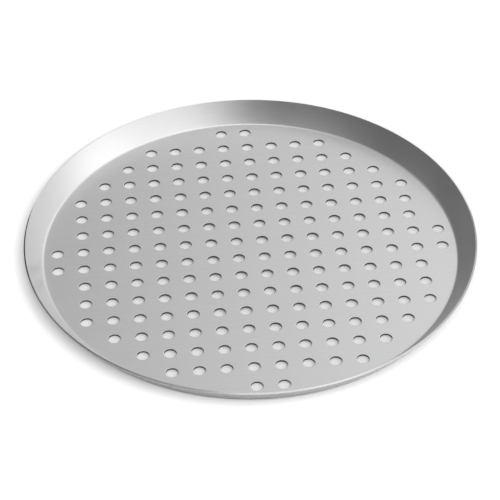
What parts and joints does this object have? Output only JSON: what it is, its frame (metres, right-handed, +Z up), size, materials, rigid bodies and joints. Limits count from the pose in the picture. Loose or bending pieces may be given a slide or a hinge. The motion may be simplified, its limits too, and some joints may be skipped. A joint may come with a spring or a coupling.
{
  "type": "perforated pizza pan",
  "caption": "Shallow round pizza pan, pressed in one piece from aluminium sheet, with a flaring wall and a grid of round holes through its floor.",
  "frame": {"origin": "centre of the pan's underside, in the plane of the table that it stands on", "axes": "+Z up out of the dish along the pan's axis, +X and +Y along the two rows of the hole grid"},
  "size_m": [0.3556, 0.3556, 0.0191],
  "materials": {
    "satin_aluminium": "fine straight-brushed satin with a clear finish"
  },
  "bodies": {
    "root": {"pan": "satin_aluminium"}
  },
  "joints": []
}
